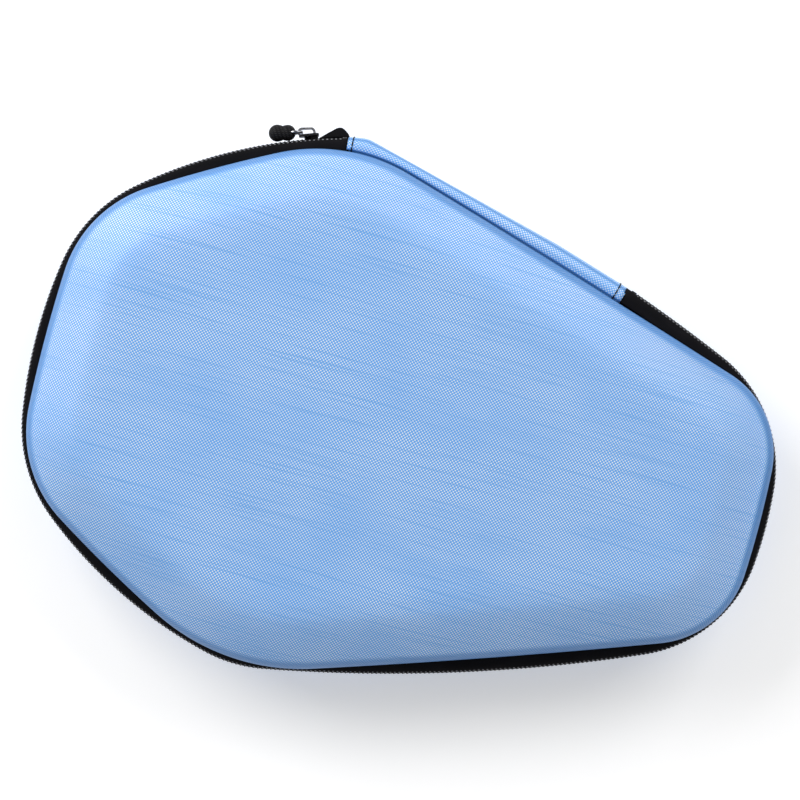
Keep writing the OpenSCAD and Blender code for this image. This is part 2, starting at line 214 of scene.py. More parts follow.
def build(name, verts, faces, uvs=None, painted_shade_free=None):
    """Mesh object from millimetre points. uvs are one pair per vertex, in millimetres.

    The last argument says how far each vertex is from a seam or a shaded bend, from 0 to 1, for the
    fabric's painted shade.
    """
    mesh = bpy.data.meshes.new(name)
    mesh.from_pydata([tuple(v * MM) for v in verts], [], faces)
    if painted_shade_free:
        mesh.attributes.new("painted_shade_free", "FLOAT", "POINT").data.foreach_set("value", painted_shade_free)
    mesh.validate()
    if uvs:
        layer = mesh.uv_layers.new(name="UVMap")
        for loop in mesh.loops:
            layer.data[loop.index].uv = uvs[loop.vertex_index]
    mesh.polygons.foreach_set("use_smooth", [True] * len(mesh.polygons))
    piece = bpy.data.objects.new(name, mesh)
    bpy.context.scene.collection.objects.link(piece)
    return piece


def grid_faces(rows, columns, start=0, wrap_columns=False, wrap_rows=False):
    """Quads over a grid of points stored row by row."""
    faces = []
    for r in range(rows if wrap_rows else rows - 1):
        for c in range(columns if wrap_columns else columns - 1):
            a, b = r * columns + c, r * columns + (c + 1) % columns
            below = ((r + 1) % rows) * columns
            faces.append((start + a, start + below + c,
                          start + below + (c + 1) % columns, start + b))
    return faces


def flip(z):
    """Height of the matching place on the back."""
    return CASE_H - z


def turned(faces, back):
    """Faces with their order reversed for a mirrored piece."""
    return [tuple(reversed(f)) for f in faces] if back else faces


def rounded(section, times=2):
    """Closed section with its corners cut, so that it shades as a soft edge."""
    for _ in range(times):
        made = []
        for (x0, z0), (x1, z1) in zip(section, section[1:] + section[:1]):
            made.append((0.75 * x0 + 0.25 * x1, 0.75 * z0 + 0.25 * z1))
            made.append((0.25 * x0 + 0.75 * x1, 0.25 * z0 + 0.75 * z1))
        section = made
    return section


def sweep(name, line, ts, section, back=False):
    """Solid band of constant section, (outward offset, height above the middle)."""
    n = len(section)
    around = [0.0]
    for (x0, z0), (x1, z1) in zip(section, section[1:]):
        around.append(around[-1] + math.hypot(x1 - x0, z1 - z0))
    verts, uvs, run, last = [], [], 0.0, None
    for t in ts:
        here = along(line, t, 0)
        run += (here - last).length if last else 0
        last = here
        for k, (out, z) in enumerate(section):
            p = along(line, t, out)
            height = MID + z
            verts.append(Vector((p.x, p.y, flip(height) if back else height)))
            uvs.append((run, around[k]))
    faces = grid_faces(len(ts), n, wrap_columns=True)
    end = (len(ts) - 1) * n
    faces += [tuple(range(n)), tuple(end + k for k in reversed(range(n)))]
    return build(name, verts, turned(faces, back), uvs)


def tube(name, paths, radius, sides=8):
    """Round threads along lists of points."""
    verts, faces, uvs = [], [], []
    for path in paths:
        start, run = len(verts), 0.0
        for i, p in enumerate(path):
            ahead = path[min(i + 1, len(path) - 1)] - path[max(i - 1, 0)]
            ahead.normalize()
            side = ahead.cross(Vector((0, 0, 1)))
            if side.length < 0.1:
                side = ahead.cross(Vector((1, 0, 0)))
            side.normalize()
            up = side.cross(ahead)
            run += (p - path[i - 1]).length if i else 0
            for k in range(sides):
                a = 2 * math.pi * k / sides
                verts.append(p + side * (radius * math.cos(a)) + up * (radius * math.sin(a)))
                uvs.append((run, radius * a))
        faces += grid_faces(len(path), sides, start, wrap_columns=True)
        end = start + (len(path) - 1) * sides
        faces.append(tuple(start + k for k in range(sides)))
        faces.append(tuple(end + k for k in reversed(range(sides))))
    return build(name, verts, faces, uvs)


# ---------------------------------------------------------------- materials

class Nodes:
    """Short way to add and link shader nodes."""

    def __init__(self, name):
        self.material = bpy.data.materials.new(name)
        self.material.use_nodes = True
        self.tree = self.material.node_tree
        self.shader = self.tree.nodes["Principled BSDF"]

    def add(self, kind, **inputs):
        node = self.tree.nodes.new(kind)
        for key, value in inputs.items():
            self.put(node, key, value)
        return node

    def put(self, node, key, value):
        if isinstance(key, str) and hasattr(node, key) and key not in node.inputs:
            setattr(node, key, value)
            return
        socket = node.inputs[key]
        if isinstance(value, bpy.types.NodeSocket):
            self.tree.links.new(value, socket)
        else:
            socket.default_value = value

    def math(self, operation, a, b=0.0, c=0.0, clamp=False):
        node = self.tree.nodes.new("ShaderNodeMath")
        node.operation = operation
        node.use_clamp = clamp
        for i, value in enumerate((a, b, c)):
            self.put(node, i, value)
        return node.outputs[0]

    def uv(self):
        split = self.add("ShaderNodeSeparateXYZ", Vector=self.add("ShaderNodeUVMap").outputs[0])
        return split.outputs[0], split.outputs[1]

    def join(self, x, y, z=0.0):
        return self.add("ShaderNodeCombineXYZ", X=x, Y=y, Z=z).outputs[0]

    def stretched(self, x, y, x_scale, y_scale, z=0.0):
        return self.join(self.math("MULTIPLY", x, x_scale), self.math("MULTIPLY", y, y_scale), z)

    def noise(self, vector, scale=1.0, detail=2.0, roughness=0.5):
        node = self.add("ShaderNodeTexNoise", Vector=vector, Scale=scale, Detail=detail,
                        Roughness=roughness)
        return node.outputs["Fac"]

    def remap(self, value, low, high, to_low=0.0, to_high=1.0):
        node = self.add("ShaderNodeMapRange", Value=value)
        node.interpolation_type = "SMOOTHSTEP"
        for key, v in (("From Min", low), ("From Max", high), ("To Min", to_low),
                       ("To Max", to_high)):
            node.inputs[key].default_value = v
        return node.outputs[0]

    def mix(self, factor, a, b):
        node = self.tree.nodes.new("ShaderNodeMix")
        node.data_type = "RGBA"
        for socket, value in ((node.inputs[0], factor), (node.inputs[6], a), (node.inputs[7], b)):
            if isinstance(value, bpy.types.NodeSocket):
                self.tree.links.new(value, socket)
            else:
                socket.default_value = value
        return node.outputs[2]

    def bump(self, height, distance, strength=1.0):
        node = self.add("ShaderNodeBump", Height=height, Strength=strength, Distance=distance)
        self.put(self.shader, "Normal", node.outputs[0])

    def finish(self, **inputs):
        for key, value in inputs.items():
            self.put(self.shader, key.replace("_", " "), value)
        return self.material


def rgb(r, g, b):
    return (r, g, b, 1.0)


def object_mm(n):
    """Object position as x, y and z sockets in millimetres, for pieces with no UV map."""
    coords = n.add("ShaderNodeTexCoord").outputs["Object"]
    split = n.add("ShaderNodeSeparateXYZ", Vector=coords)
    return [n.math("MULTIPLY", split.outputs[i], 1 / MM) for i in range(3)]


def shell_fabric():
    """Coated plain weave on blue: pale dots at the thread crossings are painted glints, fading
    along slubs; painted shade darkens it beside a seam.
    """
    n = Nodes("shell_fabric")
    u, v = n.uv()
    drift = n.noise(n.stretched(u, v, 0.012, 0.03), 1.0, 2.0)
    v_bent = n.math("ADD", v, n.math("MULTIPLY", drift, 2.0))
    thread_pitch = 0.67
    a = math.pi / thread_pitch
    weft = n.math("COSINE", n.math("MULTIPLY", u, a))
    warp = n.math("COSINE", n.math("MULTIPLY", v_bent, a))
    weave = n.math("MULTIPLY", weft, warp)
    # Pale dots at the thread crossings: painted glints, mixed into the base colour below
    dots = n.remap(weave, -0.1, 0.62)
    slub = n.noise(n.stretched(u, v_bent, 0.016, 1.1), 1.0, 3.0, 0.65)
    patch = n.noise(n.stretched(u, v, 0.02, 0.03), 1.0, 3.0)
    whole = n.remap(slub, 0.32, 0.52, 0.3, 1.0)
    cloud = n.remap(patch, 0.3, 0.62, 0.75, 1.0)
    share = n.add("ShaderNodeAttribute", attribute_name="painted_shade_free").outputs["Fac"]
    lit = n.math("MULTIPLY", dots, n.math("MULTIPLY", n.remap(whole, 0, 1, 0.35, 1.0), cloud))
    # Painted shade: the glints fade towards a seam
    lit = n.math("MULTIPLY", lit, n.remap(share, 0.45, 0.8, 0.2, 0.9))
    ground = n.mix(whole, rgb(0.115, 0.35, 0.75), rgb(0.105, 0.36, 0.82))
    # Painted shade: the ground turns a darker blue towards a seam
    ground = n.mix(n.remap(share, 0.3, 0.85, 0.95, 0.0), ground, rgb(0.035, 0.19, 0.50))
    # The painted glints laid over the blue ground
    colour = n.mix(lit, ground, rgb(0.90, 0.92, 0.92))
    height = n.math("ADD", n.math("MULTIPLY", weave, 0.5), n.math("MULTIPLY", whole, 0.5))
    n.bump(height, 0.06 * MM, 0.6)
    rough = n.remap(dots, 0.0, 1.0, 0.55, 0.36)
    return n.finish(Base_Color=colour, Roughness=rough, Specular_IOR_Level=0.5)


def woven(name, base, pale, pitch, depth, roughness=0.8):
    """Fine knit of crossing diagonals, with fuzz and worn patches."""
    n = Nodes(name)
    u, v = n.uv()
    a = 2 * math.pi / pitch
    rib = n.math("SINE", n.math("MULTIPLY", n.math("ADD", u, v), a))
    cross = n.math("SINE", n.math("MULTIPLY", n.math("SUBTRACT", u, v), a))
    knit = n.math("MULTIPLY", rib, cross)
    fuzz = n.noise(n.join(u, v), 2.5, 4.0, 0.7)
    wear = n.noise(n.stretched(u, v, 0.08, 0.3), 1.0, 3.0)
    tone = n.math("ADD", n.math("MULTIPLY", knit, 0.25), n.remap(wear, 0.3, 0.8, 0.1, 0.6))
    colour = n.mix(n.math("MULTIPLY", tone, 1.0, clamp=True), base, pale)
    n.bump(n.math("ADD", knit, fuzz), depth * MM, 0.7)
    return n.finish(Base_Color=colour, Roughness=roughness, Specular_IOR_Level=0.12)


def nylon():
    n = Nodes("nylon_coil")
    x, y, z = object_mm(n)
    tone = n.remap(n.noise(n.join(x, y, z), 0.6, 3.0), 0.3, 0.7)
    colour = n.mix(tone, rgb(0.003, 0.003, 0.004), rgb(0.014, 0.014, 0.016))
    n.bump(tone, 0.02 * MM, 0.4)
    return n.finish(Base_Color=colour, Roughness=0.4, Specular_IOR_Level=0.2)


def metal(name, base, reflection_dark, roughness):
    """Plated metal with painted dark reflections in patches and fine scratches."""
    n = Nodes(name)
    x, y, z = object_mm(n)
    scratch = n.noise(n.stretched(x, y, 0.4, 4.0, z), 2.0, 5.0, 0.7)
    reflection_patch = n.noise(n.join(x, y, z), 0.7, 3.0)
    # Painted reflection: noise patches mix the base towards a darker grey
    colour = n.mix(n.remap(reflection_patch, 0.3, 0.7), base, reflection_dark)
    n.bump(scratch, 0.03 * MM, 0.35)
    rough = n.remap(scratch, 0.3, 0.7, roughness, roughness + 0.15)
    return n.finish(Base_Color=colour, Metallic=1.0, Roughness=rough)


def enamel():
    n = Nodes("black_enamel")
    x, y, z = object_mm(n)
    chip = n.remap(n.noise(n.join(x, y, z), 1.6, 5.0, 0.7), 0.62, 0.72)
    colour = n.mix(chip, rgb(0.004, 0.004, 0.005), rgb(0.08, 0.08, 0.085))
    n.bump(n.noise(n.join(x, y, z), 3.0, 3.0), 0.03 * MM, 0.4)
    return n.finish(Base_Color=colour, Roughness=0.42, Specular_IOR_Level=0.3)


def grip_rubber():
    """Moulded rubber with rows of short dashes along its length, their ridges painted lighter as a
    highlight.
    """
    n = Nodes("grip_rubber")
    u, v = n.uv()
    row_pitch, dash_pitch, skew = 0.75, 1.5, 1.7
    row = n.math("SINE", n.math("MULTIPLY", v, 2 * math.pi / row_pitch))
    skewed = n.math("ADD", u, n.math("MULTIPLY", v, skew))
    dash = n.math("SINE", n.math("MULTIPLY", skewed, 2 * math.pi / dash_pitch))
    ridge = n.math("MULTIPLY", n.remap(row, -0.1, 0.6), n.remap(dash, -0.6, 0.1))
    dust = n.noise(n.join(u, v), 1.2, 4.0, 0.7)
    # Painted highlight: the dash ridges are coloured lighter than the rubber
    colour = n.mix(n.math("MULTIPLY", ridge, 0.7), rgb(0.003, 0.003, 0.004),
                   rgb(0.045, 0.043, 0.045))
    n.bump(n.math("ADD", ridge, n.math("MULTIPLY", dust, 0.3)), 0.16 * MM, 0.8)
    return n.finish(Base_Color=colour, Roughness=n.remap(dust, 0.3, 0.7, 0.5, 0.65),
                    Specular_IOR_Level=0.15)


def foam():
    n = Nodes("eva_foam")
    x, y, z = object_mm(n)
    cells = n.noise(n.join(x, y, z), 3.0, 4.0, 0.7)
    colour = n.mix(cells, rgb(0.02, 0.02, 0.022), rgb(0.06, 0.06, 0.065))
    n.bump(cells, 0.1 * MM, 0.6)
    return n.finish(Base_Color=colour, Roughness=0.9)


def floor_paper():
    n = Nodes("floor_paper")
    x, y, z = object_mm(n)
    grain = n.noise(n.join(x, y, z), 0.02, 3.0)
    colour = n.mix(grain, rgb(0.95, 0.95, 0.95), rgb(0.98, 0.98, 0.98))
    return n.finish(Base_Color=colour, Roughness=0.9, Emission_Color=rgb(1, 1, 1),
                    Emission_Strength=0.25)


BLACK, SOFT_BLACK = rgb(0.002, 0.002, 0.003), rgb(0.008, 0.007, 0.009)
FABRIC = shell_fabric()
TAPE_CLOTH = woven("zipper_tape", BLACK, SOFT_BLACK, 1.1, 0.05)
BINDING_CLOTH = woven("edge_binding", BLACK, rgb(0.04, 0.04, 0.045), 1.6, 0.08)
LINING_CLOTH = woven("lining_knit", rgb(0.014, 0.014, 0.016), rgb(0.05, 0.05, 0.055), 1.3, 0.08)
ELASTIC = woven("elastic_web", rgb(0.012, 0.012, 0.014), rgb(0.06, 0.06, 0.065), 1.8, 0.12)
NET = woven("ball_net", rgb(0.02, 0.02, 0.022), rgb(0.08, 0.08, 0.085), 0.9, 0.05)
THREAD = woven("sewing_thread", rgb(0.006, 0.006, 0.007), rgb(0.03, 0.03, 0.033), 0.5, 0.04, 0.6)
# Pale grey thread on the stitches by the coil: a painted glint of the coil's loop tops
GLINT_THREAD = woven("coil_glint_thread", rgb(0.22, 0.22, 0.23), rgb(0.5, 0.5, 0.52), 0.5, 0.04, 0.6)
NYLON = nylon()
# The darker grey is a painted dark reflection, mixed in patches
BRIGHT = metal("bright_nickel", rgb(0.5, 0.5, 0.52), rgb(0.14, 0.14, 0.15), 0.14)
ENAMEL = enamel()
RUBBER = grip_rubber()
FOAM = foam()


def dress(piece, material, slot, body=None, *nodes):
    """Material, slot, body and the CAD nodes that a piece stands for. The slot is not used."""
    piece.data.materials.clear()
    piece.data.materials.append(material)
    if nodes:
        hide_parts(*nodes)
    if body:
        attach(piece, body)
    return piece


# ---------------------------------------------------------------- shells

def fabric_uv(ts, wall_rows, plateau_rows):
    """Flat place of each shell point on the uncut fabric: the wall unrolls outwards."""
    rows = wall(wall_rows, 0)
    run, lengths = 0.0, [0.0]
    for a, b in zip(rows, rows[1:]):
        run += math.hypot(a[0] - b[0], a[1] - b[1])
        lengths.append(run)
    top = PROFILE[-1][0]
    edge = [along(RIM, t, -top) for t in ts]
    uvs = []
    for k in range(1, plateau_rows):
        uvs += [tuple(PLATEAU_CENTRE.lerp(p, k / plateau_rows)) for p in edge]
    for length in lengths:
        uvs += [tuple(along(RIM, t, -top + length)) for t in ts]
    return uvs


# Painted shade darkens the fabric within this many millimetres of a seam
SEAM_SHADE = 5.5


def skin(name, depth, lip, slope, back, step=1.7, wall_rows=40, plateau_rows=14):
    """One sheet over a shell, turned in at the rim by lip millimetres, or out if it is negative."""
    ts = stations(RIM, 0, TURN, step)[:-1]
    n = len(ts)
    rows = shell_rows(ts, depth, slope, wall_rows, plateau_rows)
    uvs = fabric_uv(ts, wall_rows, plateau_rows)
    for inset in (0.25 * lip, lip):
        rows.append([Vector((*along(RIM, t, -depth - inset), MID + HALF_BAND)) for t in ts])
        uvs += [tuple(along(RIM, t, inset)) for t in ts]
    verts = [p for row in rows for p in row]
    # Painted shade mask: none on the plateau, growing over the wall towards the rim, full on the
    # lip
    shares = [1.0] * (plateau_rows - 1)
    shares += [min(1, row[3] / SEAM_SHADE) for row in wall(wall_rows, 0)]
    shares += [0.0] * (len(rows) - len(shares))
    painted_shade_free = [share for share in shares for _ in range(n)] + [1.0]
    centre = Vector((*PLATEAU_CENTRE, CASE_H - depth - slope * fall(PLATEAU_CENTRE)))
    verts.append(centre)
    uvs.append(tuple(PLATEAU_CENTRE))
    faces = grid_faces(len(rows), n, wrap_columns=True)
    hub = len(verts) - 1
    faces += [(hub, k, (k + 1) % n) for k in range(n)]
    if back:
        verts = [Vector((p.x, p.y, flip(p.z))) for p in verts]
    return build(name, verts, turned(faces, not back), uvs, painted_shade_free)


def foam_core(name, slope, back):
    """Closed moulding between the fabric and the lining."""
    ts = stations(RIM, 0, TURN, 3.0)[:-1]
    n, depths = len(ts), (COVER_T + GLUE, COVER_T + GLUE + CORE_T)
    outer, inner = (shell_rows(ts, depth, slope, wall_rows=24, plateau_rows=10) for depth in depths)
    rows = outer + inner[::-1]
    verts = [p for row in rows for p in row]
    faces = grid_faces(len(rows), n, wrap_columns=True)
    for depth, start, facing_in in ((depths[0], 0, False), (depths[1], (len(rows) - 1) * n, True)):
        hub = len(verts)
        verts.append(Vector((*PLATEAU_CENTRE, CASE_H - depth - slope * fall(PLATEAU_CENTRE))))
        faces += turned([(hub, start + k, start + (k + 1) % n) for k in range(n)], facing_in)
    if back:
        verts = [Vector((p.x, p.y, flip(p.z))) for p in verts]
    return build(name, verts, turned(faces, not back))


def make_shells():
    for side, body, slope in (("front", "lid", 1), ("back", "case_back", 0)):
        back = side == "back"
        outer = skin(f"{side}_shell_fabric", 0, COVER_T, slope, back)
        dress(outer, FABRIC, "shell_fabric", body, f"{side}_cover")
        inner = skin(f"{side}_knit_lining", WALL_T, -LINING_T, slope, back, step=3.0,
                     wall_rows=24, plateau_rows=10)
        dress(inner, LINING_CLOTH, "lining", body, f"{side}_lining")
        dress(foam_core(f"{side}_foam", slope, back), FOAM, "foam", body, f"{side}_core")


# ---------------------------------------------------------------- zipper

ZIP_T0, ZIP_T1 = 4.705, TURN + 2.841
STRIP_T0, STRIP_T1 = 3.505, 4.65
COIL_T0, COIL_T1 = ZIP_T0 + 0.02, TURN + 2.815
COIL_Z1, COIL_OUT, COIL_IN = 1.7, 0.4, -1.2
# Each row's loops reach this far past the middle, between those of the other row
COIL_LOW = -0.25
COIL_WIRE_R, LOOP_POINTS = 0.36, 14
# A row of stitches along each tape's shoulder, one for each loop of the coil; their pale colour is
# a painted glint of the coil's loop tops
SEWING_OUT, SEWING_Z, SEWING_R = -0.8, 5.0, 0.22
FLANGE_Z, TAPE_T, TAPE_OUT = HALF_BAND - 0.05, 0.6, -0.3
BEND_Z = FLANGE_Z - 1.45
TAPE = [
    (TAPE_OUT, COIL_Z1 + 0.05), (TAPE_OUT, 3), (TAPE_OUT, BEND_Z), (-1.4, FLANGE_Z - 0.35),
    (-3, FLANGE_Z), (-6.6, FLANGE_Z), (-6.6, FLANGE_Z - TAPE_T), (-3.2, FLANGE_Z - TAPE_T),
    (-2, FLANGE_Z - TAPE_T - 0.3), (TAPE_OUT - TAPE_T, BEND_Z - 0.2),
    (TAPE_OUT - TAPE_T, 3), (TAPE_OUT - TAPE_T, COIL_Z1 + 0.05),
]
BINDING = [
    (-2.5, FLANGE_Z - 0.7), (-3.8, FLANGE_Z - 0.66), (-5.1, FLANGE_Z - 0.7),
    (-5.1, FLANGE_Z - 2.3), (-3.8, FLANGE_Z - 2.4), (-2.5, FLANGE_Z - 2.3),
]
TOOTH_PITCH = 1.75
# The tapes' ends run this far under the strip's handle end, in stations
TAPE_TUCK = 0.014


def coil_paths(back):
    """Flattened helix of nylon along the chain, and the row of short stitches on the tape."""
    phase, wire_room, stitch_from = math.pi if back else 0, 0.3, 0.2
    mid_z, half_z = (COIL_LOW + COIL_Z1) / 2, (COIL_Z1 - COIL_LOW) / 2
    mid_out, half_out = (COIL_OUT + COIL_IN) / 2, (COIL_OUT - COIL_IN) / 2 - wire_room
    ts = stations(ZIP, COIL_T0, COIL_T1, TOOTH_PITCH / LOOP_POINTS)
    helix, stitches, stitch, run, last = [], [], [], 0.0, None
    for t in ts:
        here = along(ZIP, t, 0)
        run += (here - last).length if last else 0
        last = here
        a = 2 * math.pi * run / TOOTH_PITCH + phase
        p = along(ZIP, t, mid_out + half_out * math.sin(a))
        z = MID + mid_z + half_z * math.cos(a)
        helix.append(Vector((p.x, p.y, flip(z) if back else z)))
        if math.cos(a) > stitch_from:
            p, z = along(ZIP, t, SEWING_OUT), MID + SEWING_Z
            stitch.append(Vector((p.x, p.y, flip(z) if back else z)))
        elif stitch:
            stitches.append(stitch)
            stitch = []
    return helix, [path for path in stitches if len(path) > 2]


def make_zipper():
    ts = stations(ZIP, ZIP_T0 - TAPE_TUCK, ZIP_T1, 2.0)
    rim_ts = stations(RIM, STRIP_T1 + 0.05, TURN + STRIP_T0 - 0.1, 2.0)
    for side, body in (("front", "lid"), ("back", "case_back")):
        back = side == "back"
        tape = sweep(f"{side}_zip_tape", ZIP, ts, rounded(TAPE), back)
        dress(tape, TAPE_CLOTH, "tape", body, f"{side}_tape")
        helix, stitches = coil_paths(back)
        coil = tube(f"{side}_coil_teeth", [helix], COIL_WIRE_R, 8)
        dress(coil, NYLON, "coil", body, f"{side}_coil")
        sewing = tube(f"{side}_coil_sewing", stitches, SEWING_R, 6)
        # The stitches' pale colour is a painted glint of the coil's loop tops
        dress(sewing, GLINT_THREAD, "thread", body)
        binding = sweep(f"{side}_rim_binding", RIM, rim_ts, rounded(BINDING), back)
        dress(binding, BINDING_CLOTH, "tape", body, f"{side}_binding")


# ---------------------------------------------------------------- hinge strip

STRIP_T, FLANGE_W = 0.7, 3
# The strip's outward reach: its most, and how it starts and grows from the blade end
STRIP_REACH, STRIP_END_REACH, STRIP_SPREAD = 7.4, 6.3, 7
# Two points on the lid's hinge axis, which the strip stops AXIS_GAP short of
AXIS_GAP = 0.1
AXIS_A = Vector((108.65 + BLADE_X, 107.98 + FRAME_Y))
AXIS_B = Vector((215.15 + BLADE_X, 80.48 + FRAME_Y))
AXIS_N = Vector((AXIS_A.y - AXIS_B.y, AXIS_B.x - AXIS_A.x)).normalized()


def bulge(t):
    """How far the strip stands out past the rim at a station."""
    p, out = along(RIM, t, 0), normal(RIM, t)
    to_axis = (AXIS_A - p).dot(AXIS_N) / out.dot(AXIS_N) - AXIS_GAP
    return min(STRIP_REACH, STRIP_END_REACH + STRIP_SPREAD * (t - STRIP_T0), to_axis)


def strip_side(b):
    """Half section from a flange to the middle: (offset, height, outward and upward normal)."""
    h = HALF_BAND
    return [(-FLANGE_W, h - 0.1, 0, 1), (0.15, h - 0.7, 0, 1),
            (0.14 * b + 0.15, h + 0.25, -0.25, 0.97), (0.42 * b, h + 0.5, 0.1, 1),
            (0.7 * b, h - 0.4, 0.5, 0.87), (0.9 * b, h - 2, 0.83, 0.56), (b, 1.6, 0.99, 0.12)]


def strip_face(t, depth, count=48, first=0):
    """Smooth line over the strip at a station, from its flange on the lid to the back's.

    A first of 1 leaves out both flanges.
    """
    half = [(x - depth * nx, z - depth * nz) for x, z, nx, nz in strip_side(bulge(t))[first:]]
    points = half + [(x, -z) for x, z in reversed(half)]
    return [catmull(points, k / count) for k in range(count + 1)]


def strip_point(t, out, z):
    p = along(RIM, t, out)
    return Vector((p.x, p.y, MID + z))


def bend_with_lid(piece):
    """Bakes the piece's transform into its mesh."""
    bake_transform(piece)


def make_strip():
    # Painted shade darkens the fabric along both seams and along the two bends of the outer face
    seam_run, bend_run, bend_share, bend_drop, face_from = 2, 3, 0.4, 1.2, 0.7
    ts = stations(RIM, STRIP_T0, STRIP_T1, 1.6)
    verts, uvs, painted_shade_free, run, last = [], [], [], 0.0, None
    for t in ts:
        reach = bulge(t)
        here = along(RIM, t, 0)
        run += (here - last).length if last else 0
        last = here
        outer, inner = strip_face(t, 0), strip_face(t, STRIP_T)
        ring = outer + inner[::-1]
        length = 0.0
        for k, (out, z) in enumerate(ring):
            length += math.dist(ring[k], ring[k - 1]) if k else 0
            verts.append(strip_point(t, out, z))
            uvs.append((run, length))
            # Painted shade mask, from the distance to a seam or to a bend of the outer face
            to_seam = out if abs(z) > HALF_BAND / 2 else reach
            on_face = out > face_from * reach
            to_bend = abs(abs(z) - HALF_BAND + bend_drop) if on_face else reach
            painted_shade_free.append(max(0, min(1, to_seam / seam_run, bend_share + to_bend / bend_run)))
    n = len(ring)
    faces = grid_faces(len(ts), n, wrap_columns=True)
    for base, last_end in ((0, False), ((len(ts) - 1) * n, True)):
        caps = [(base + k, base + k + 1, base + n - 2 - k, base + n - 1 - k)
                for k in range(n // 2 - 1)]
        faces += turned(caps, last_end)
    strip = build("strip_fabric", verts, faces, uvs, painted_shade_free)
    dress(strip, FABRIC, "shell_fabric", None, "hinge_strip")
    bend_with_lid(strip)

    # A flat lining over the gap, its section cut into short steps
    face, top, steps, dense = -WALL_T - 0.6, HALF_BAND + 2, 12, []
    section = [(face, top), (face - LINING_T, top), (face - LINING_T, -top), (face, -top)]
    for (xa, za), (xb, zb) in zip(section, section[1:] + section[:1]):
        dense += [(xa + (xb - xa) * k / steps, za + (zb - za) * k / steps) for k in range(steps)]
    lining_ts = stations(RIM, STRIP_T0 + 0.05, STRIP_T1 - 0.02, 2.0)
    lining = sweep("strip_lining", RIM, lining_ts, dense)
    dress(lining, LINING_CLOTH, "lining", None, "hinge_lining")
    bend_with_lid(lining)


def make_strip_threads():
    """A row of single stitches across each end of the strip."""
    stitch, gap, radius = 2.3, 0.3, 0.26
    ends = (("strip_stitch_blade", STRIP_T0 + 0.034), ("strip_stitch_handle", STRIP_T1 - 0.022))
    for name, t in ends:
        line = [strip_point(t, out, z) for out, z in strip_face(t, -0.1, 240, 1)]
        paths, run, current = [], 0.0, [line[0]]
        for a, b in zip(line, line[1:]):
            run += (b - a).length
            if run % (stitch + gap) < stitch:
                current.append(b)
                continue
            if len(current) > 3:
                paths.append(current)
            current = []
        rows = tube(f"{name}_thread", paths, radius, 6)
        dress(rows, THREAD, "thread", None, name)
        bend_with_lid(rows)


# ---------------------------------------------------------------- slider and pull

# The slider's station at rest, the pull's pivot in its frame, and the pull's angle there
SLIDER_T = 2.69
PIVOT = Vector((-2.66, 3.25))
PULL_REST = 177
# Distance from the pivot to the grip's near end, and between the centres of its lobes
GRIP_START, LOBE_STEP = 2.5, 4.2


def frame_at(t, out=0.0):
    """Local frame on the chain: +X towards the strip, +Y out of the case."""
    p = along(ZIP, t, out)
    _, h, _ = place(ZIP, t)
    return Matrix.Translation(Vector((p.x, p.y, MID))) @ Matrix.Rotation(h, 4, "Z")


def softened(node, name, width, segments=2):
    """Copy of a CAD node with its edges rounded."""
    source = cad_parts[node]
    mesh = source.data.copy()
    mesh.name = name
    piece = bpy.data.objects.new(name, mesh)
    bpy.context.scene.collection.objects.link(piece)
    bpy.context.view_layer.objects.active = piece
    weld = piece.modifiers.new("weld", "WELD")
    weld.merge_threshold = 0.01 * MM
    bevel = piece.modifiers.new("bevel", "BEVEL")
    bevel.width = width * MM
    bevel.segments = segments
    bevel.limit_method = "ANGLE"
    bevel.angle_limit = math.radians(38)
    dg = bpy.context.evaluated_depsgraph_get()
    final = bpy.data.meshes.new_from_object(piece.evaluated_get(dg))
    piece.modifiers.clear()
    piece.data = final
    final.shade_smooth()
    final.set_sharp_from_angle(angle=math.radians(50))
    return piece


def make_slider():
    casting = softened("slider_body", "slider_casting", 0.18)
    dress(casting, ENAMEL, "dark_metal", "slider", "slider_body")
    bridge = softened("slider_crown", "slider_bridge", 0.3, 3)
    dress(bridge, BRIGHT, "bright_metal", "slider", "slider_crown")
    loop = softened("pull_wire", "pull_loop", 0.02)
    dress(loop, BRIGHT, "bright_metal", "pull", "pull_wire")


def make_grip():
    """One moulding: two lobes blended at the waist, a little flattened."""
    local = frame_at(SLIDER_T) @ Matrix.Translation(Vector((*PIVOT, 0)))
    local = local @ Matrix.Rotation(math.radians(PULL_REST), 4, "Z")
    near_r, far_r = 3.2, 3.4
    near_x = GRIP_START + near_r
    far_x = near_x + LOBE_STEP
    waist_x, waist_fill, waist_run, flattening = (near_x + far_x) / 2 - 0.1, 0.22, 0.7, 0.96
    length, rows, sides = far_x + far_r - GRIP_START, 60, 64
    verts, uvs = [], []
    for i in range(rows + 1):
        x = GRIP_START + length * (1 - math.cos(math.pi * i / rows)) / 2
        near = math.sqrt(max(0, near_r ** 2 - (x - near_x) ** 2))
        far = math.sqrt(max(0, far_r ** 2 - (x - far_x) ** 2))
        fill = waist_fill * math.exp(-((x - waist_x) / waist_run) ** 2)
        r = max(0.01, max(near, far) + fill)
        for k in range(sides):
            a = 2 * math.pi * k / sides
            verts.append(local @ Vector((x, r * math.cos(a), flattening * r * math.sin(a))))
            uvs.append((x, (near_r + far_r) / 2 * a))
    faces = grid_faces(rows + 1, sides, wrap_columns=True)
    grip = build("moulded_grip", verts, faces, uvs)
    dress(grip, RUBBER, "grip_rubber", "pull", "pull_grip")


# ---------------------------------------------------------------- inside

